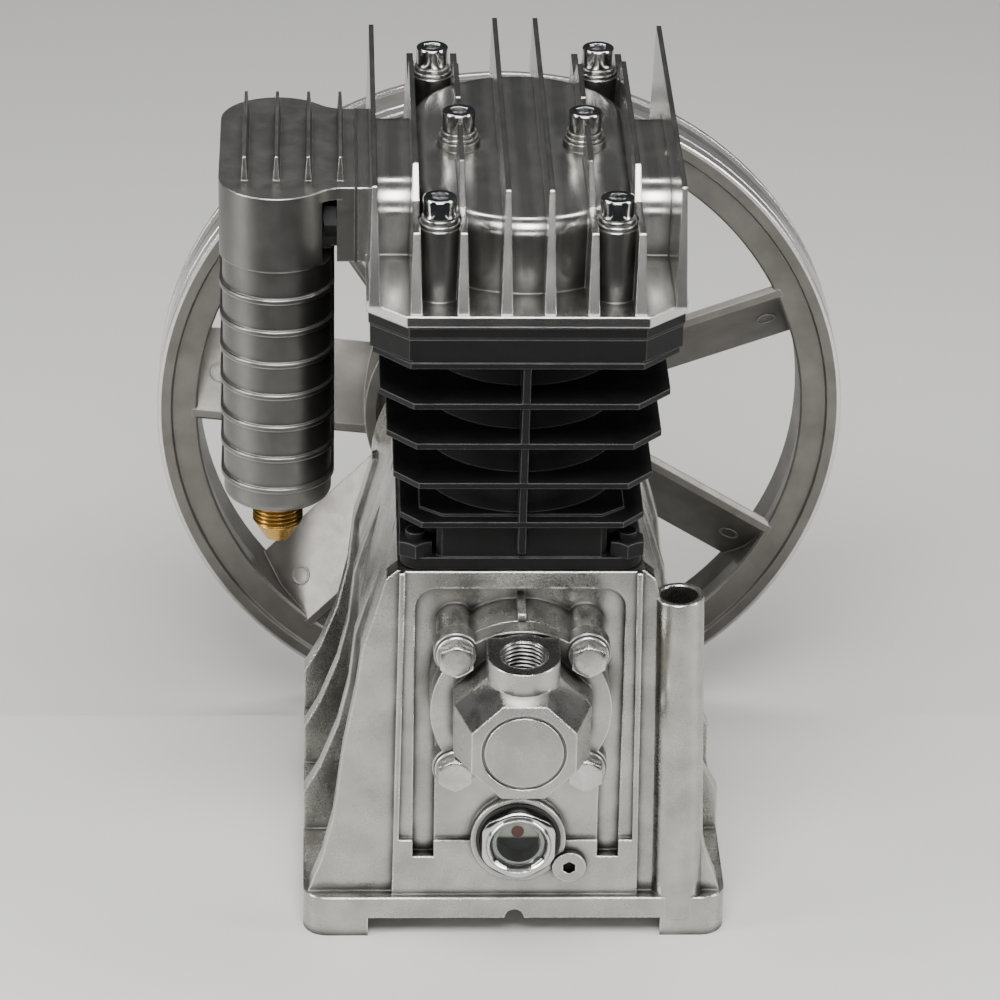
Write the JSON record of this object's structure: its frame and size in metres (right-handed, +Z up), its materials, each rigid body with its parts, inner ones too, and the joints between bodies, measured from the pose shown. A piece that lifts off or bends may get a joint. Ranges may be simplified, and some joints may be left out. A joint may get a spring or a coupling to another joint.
{
  "type": "air compressor pump head",
  "caption": "Belt-driven twin-cylinder air compressor pump head with finned block, head and discharge cooler, sight glass, filler tube and spoked V-belt flywheel.",
  "frame": {"origin": "middle of the four base bolt holes, on the underside of the feet", "axes": "+Z up along the cylinders, +Y along the crankshaft towards the flywheel, +X towards the intake side, so that the discharge cooler is at -X"},
  "size_m": [0.304, 0.3309, 0.3695],
  "materials": {
    "cast_aluminium": "satin cast",
    "bright_aluminium": "polished",
    "cooler_aluminium": "satin cast",
    "black_iron": "black paint",
    "wheel_iron": "satin",
    "steel": "ground",
    "zinc_steel": "bright plated",
    "spring_steel": "blued",
    "brass": "turned",
    "copper": "soft",
    "gasket": "matt",
    "rubber": "matt",
    "glass": "clear",
    "red": "gloss",
    "piston_aluminium": "turned",
    "ring_iron": "ground"
  },
  "bodies": {
    "housing": {"crankcase": "cast_aluminium", "front_cover": "cast_aluminium", "cover_gasket": "gasket", "cover_bolts": "zinc_steel", "cover_washers": "zinc_steel", "sight_glass_body": "zinc_steel", "sight_glass_lens": "glass", "sight_glass_dot": "red", "drain_plug": "zinc_steel", "drain_washer": "copper", "cylinder_block": "black_iron", "block_gasket": "gasket", "block_studs": "steel", "block_nuts": "steel", "valve_plate_gasket": "gasket", "valve_plate": "steel", "head_gasket": "gasket", "suction_reeds": "spring_steel", "discharge_reeds": "spring_steel", "reed_stops": "spring_steel", "reed_rivets": "steel", "cylinder_head": "bright_aluminium", "head_screws": "zinc_steel", "head_spring_washers": "zinc_steel", "head_washers": "zinc_steel", "cooler_gasket": "gasket", "discharge_cooler": "cooler_aluminium", "cooler_bolts": "zinc_steel", "outlet_fitting": "brass", "rear_carrier": "cast_aluminium", "carrier_gasket": "gasket", "carrier_bolts": "zinc_steel", "front_bearing_ring": "steel", "rear_bearing_ring": "steel", "rear_oil_seal": "rubber"},
    "shaft": {"crankshaft": "steel", "bearing_inner_rings": "steel", "bearing_balls": "steel", "flywheel": "wheel_iron", "flywheel_key": "steel", "flywheel_bolt": "zinc_steel", "flywheel_washer": "zinc_steel"},
    "front_piston_set": {"front_piston": "piston_aluminium", "front_rings": "ring_iron", "front_wrist_pin": "steel"},
    "front_rod_set": {"front_rod": "piston_aluminium", "front_rod_cap": "piston_aluminium", "front_rod_screws": "steel", "front_crankpin": "steel"},
    "rear_piston_set": {"rear_piston": "piston_aluminium", "rear_rings": "ring_iron", "rear_wrist_pin": "steel"},
    "rear_rod_set": {"rear_rod": "piston_aluminium", "rear_rod_cap": "piston_aluminium", "rear_rod_screws": "steel", "rear_crankpin": "steel"}
  },
  "joints": [
    {"name": "shaft_spin", "type": "hinge", "parent": "housing", "child": "shaft", "pos_m": [0, 0, 0.1175], "axis": [0, 1, 0], "continuous": true},
    {"name": "front_piston_stroke", "type": "slide", "parent": "housing", "child": "front_piston_set", "axis": [0, 0, 1], "range_m": [-0.046, 0]},
    {"name": "front_rod_swing", "type": "hinge", "parent": "front_piston_set", "child": "front_rod_set", "pos_m": [0, -0.03775, 0.2375], "axis": [0, 1, 0], "range_deg": [-13.5, 13.5]},
    {"name": "rear_piston_stroke", "type": "slide", "parent": "housing", "child": "rear_piston_set", "axis": [0, 0, 1], "range_m": [0, 0.046]},
    {"name": "rear_rod_swing", "type": "hinge", "parent": "rear_piston_set", "child": "rear_rod_set", "pos_m": [0, 0.03775, 0.1915], "axis": [0, 1, 0], "range_deg": [-13.5, 13.5]}
  ]
}
